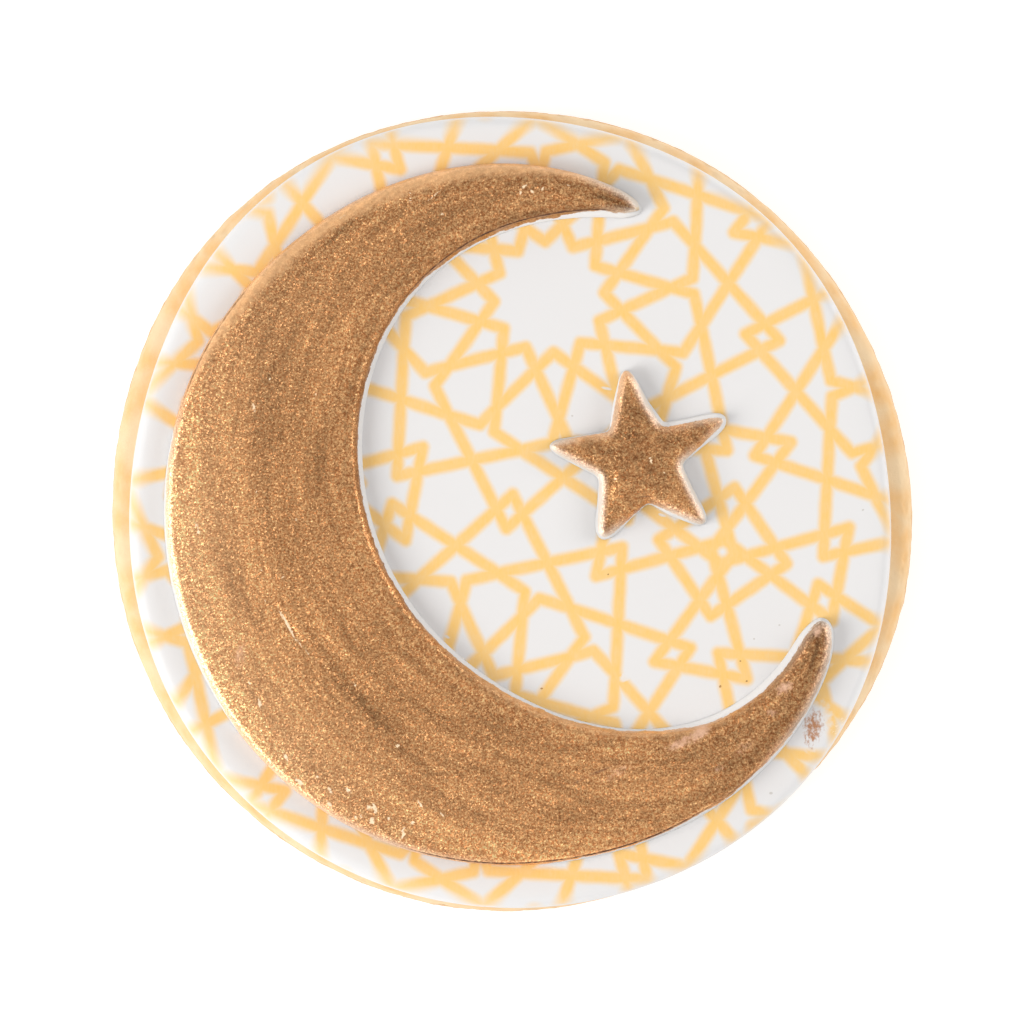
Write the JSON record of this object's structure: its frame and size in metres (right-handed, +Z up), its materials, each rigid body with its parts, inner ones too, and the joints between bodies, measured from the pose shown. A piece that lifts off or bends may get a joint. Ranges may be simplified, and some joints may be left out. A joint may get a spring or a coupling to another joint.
{
  "type": "iced butter cookie",
  "caption": "Round butter biscuit under a white sugar paste disc with a printed yellow geometric pattern, topped by a gold crescent moon and a gold star.",
  "frame": {"origin": "under the middle of the cookie, on the flat underside that it lies on", "axes": "+Z up out of the decorated face, +X to the right and +Y to the top as the decoration is seen from above, the crescent opening to +X"},
  "size_m": [0.076, 0.076, 0.012],
  "materials": {
    "biscuit": "pale golden baked butter dough, matte, fine crumb",
    "icing": "smooth white rolled sugar paste with a printed soft yellow geometric pattern",
    "gold_paint": "brushed edible gold lustre on white sugar paste, fine glitter, bare white at the foot of the edges"
  },
  "bodies": {
    "root": {"biscuit": "biscuit", "icing": "icing", "crescent": "gold_paint", "star": "gold_paint"}
  },
  "joints": []
}
